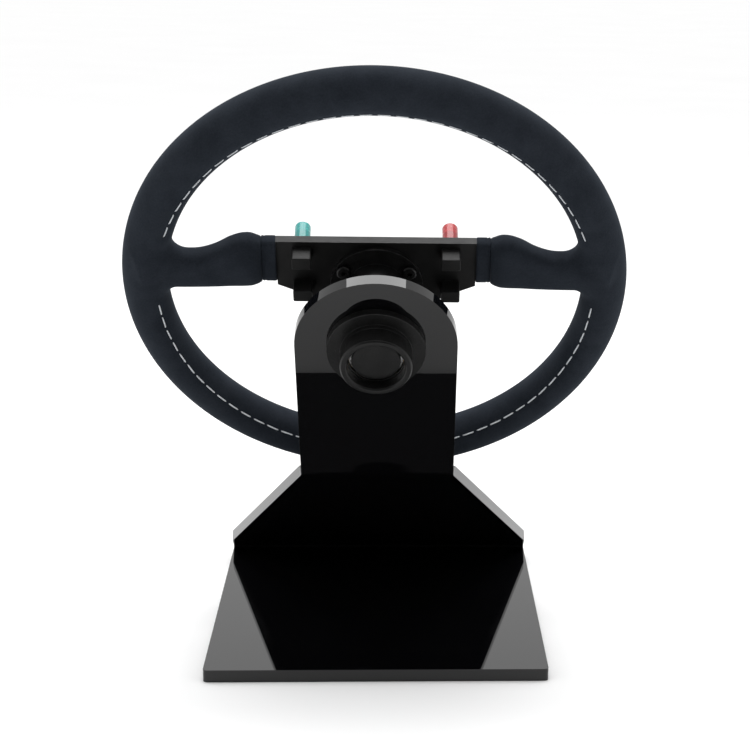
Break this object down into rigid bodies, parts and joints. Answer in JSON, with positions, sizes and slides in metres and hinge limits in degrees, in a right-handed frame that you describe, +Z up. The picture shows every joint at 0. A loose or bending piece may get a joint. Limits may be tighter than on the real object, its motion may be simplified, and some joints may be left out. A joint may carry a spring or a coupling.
{
  "type": "racing wheel",
  "caption": "Round suede-covered racing steering wheel with a button plate, turning on a bearing hub held by a folded acrylic stand.",
  "frame": {"origin": "centre of the stand base's underside", "axes": "+Z up, +Y to the rear (away from the driver), +X to the driver's right"},
  "size_m": [0.32, 0.2507, 0.3759],
  "materials": {
    "acrylic": "polished",
    "black_anodised": "satin",
    "bronze": "plain",
    "steel": "turned",
    "black_steel": "black oxide",
    "friction": "matt",
    "foam": "moulded foam",
    "suede": "brushed suede",
    "collar": "fine grain",
    "switch": "moulded",
    "contact": "bright",
    "cap": "fine grain",
    "green": "translucent",
    "red": "translucent",
    "blue": "translucent",
    "amber": "translucent",
    "green_pale": "translucent",
    "red_pale": "translucent",
    "blue_pale": "translucent",
    "amber_pale": "translucent"
  },
  "bodies": {
    "stand": {"stand_sheet": "acrylic", "bearing_housing": "black_anodised", "rear_flange": "black_anodised", "lock_ring": "black_anodised", "bush_front": "bronze", "bush_rear": "bronze"},
    "wheel": {"steering_shaft": "black_anodised", "retaining_clip": "steel", "friction_washer": "friction", "hub_adapter": "black_anodised", "hub_bolts": "black_steel", "hub_nuts": "steel", "hub_set_screw": "black_steel", "rim_hoop": "steel", "centre_plate": "black_anodised", "centre_cap": "cap", "rim_foam": "foam", "rim_cover": "suede", "spoke_collar_right": "collar", "spoke_collar_left": "collar", "green_bezel": "black_anodised", "green_terminals": "contact", "green_switch": "switch", "green_lid": "switch", "red_bezel": "black_anodised", "red_terminals": "contact", "red_switch": "switch", "red_lid": "switch", "blue_bezel": "black_anodised", "blue_terminals": "contact", "blue_switch": "switch", "blue_lid": "switch", "amber_bezel": "black_anodised", "amber_terminals": "contact", "amber_switch": "switch", "amber_lid": "switch"},
    "green_button": {"green_plunger": "green", "green_lens": "green_pale", "green_contact": "contact", "green_spring": "steel"},
    "red_button": {"red_plunger": "red", "red_lens": "red_pale", "red_contact": "contact", "red_spring": "steel"},
    "blue_button": {"blue_plunger": "blue", "blue_lens": "blue_pale", "blue_contact": "contact", "blue_spring": "steel"},
    "amber_button": {"amber_plunger": "amber", "amber_lens": "amber_pale", "amber_contact": "contact", "amber_spring": "steel"}
  },
  "joints": [
    {"name": "steering_turn", "type": "hinge", "parent": "stand", "child": "wheel", "pos_m": [0, 0.07974, 0.20596], "axis": [0, 0.866, -0.5], "continuous": true},
    {"name": "green_press", "type": "slide", "parent": "wheel", "child": "green_button", "axis": [0, 0.866, -0.5], "range_m": [0, 0.0016], "stiffness_N_per_m": 400, "springref_m": -0.002, "deforming": ["green_spring"]},
    {"name": "red_press", "type": "slide", "parent": "wheel", "child": "red_button", "axis": [0, 0.866, -0.5], "range_m": [0, 0.0016], "stiffness_N_per_m": 400, "springref_m": -0.002, "deforming": ["red_spring"]},
    {"name": "blue_press", "type": "slide", "parent": "wheel", "child": "blue_button", "axis": [0, 0.866, -0.5], "range_m": [0, 0.0016], "stiffness_N_per_m": 400, "springref_m": -0.002, "deforming": ["blue_spring"]},
    {"name": "amber_press", "type": "slide", "parent": "wheel", "child": "amber_button", "axis": [0, 0.866, -0.5], "range_m": [0, 0.0016], "stiffness_N_per_m": 400, "springref_m": -0.002, "deforming": ["amber_spring"]}
  ]
}
